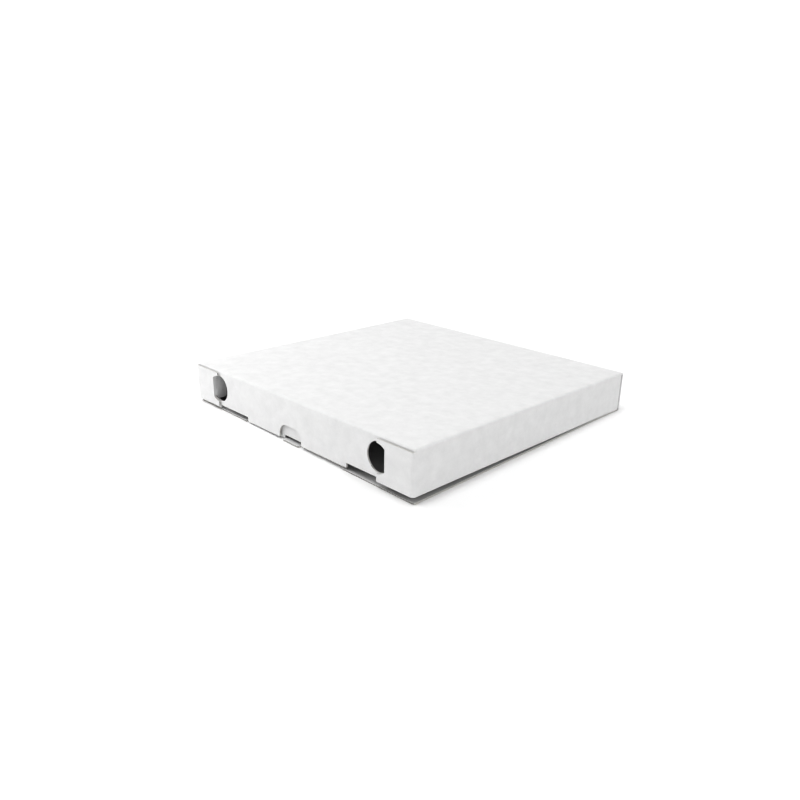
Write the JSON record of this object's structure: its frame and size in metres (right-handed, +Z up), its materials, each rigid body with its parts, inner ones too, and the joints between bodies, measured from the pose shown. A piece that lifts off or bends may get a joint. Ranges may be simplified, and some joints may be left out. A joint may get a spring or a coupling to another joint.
{
  "type": "pizza box",
  "caption": "Closed pizza box of white micro-flute board, lying upside down on its hinged lid, with corner vents and a thumb notch; one corner of the tray sits slightly raised.",
  "frame": {"origin": "on the table, under the middle of the closed box", "axes": "+Z up; the front of the box, with the vents and the thumb notch, faces -Y; +X is the side of the raised corner"},
  "size_m": [0.33, 0.324, 0.0487],
  "materials": {
    "lid_board": "matt white liner",
    "tray_board": "matt white liner"
  },
  "bodies": {
    "lid": {"lid": "lid_board"},
    "tray": {"tray": "tray_board"}
  },
  "joints": [
    {"name": "lid_hinge", "type": "hinge", "parent": "lid", "child": "tray", "pos_m": [0, 0.1615, 0.00075], "axis": [-1, 0, 0], "range_deg": [0, 90]}
  ]
}
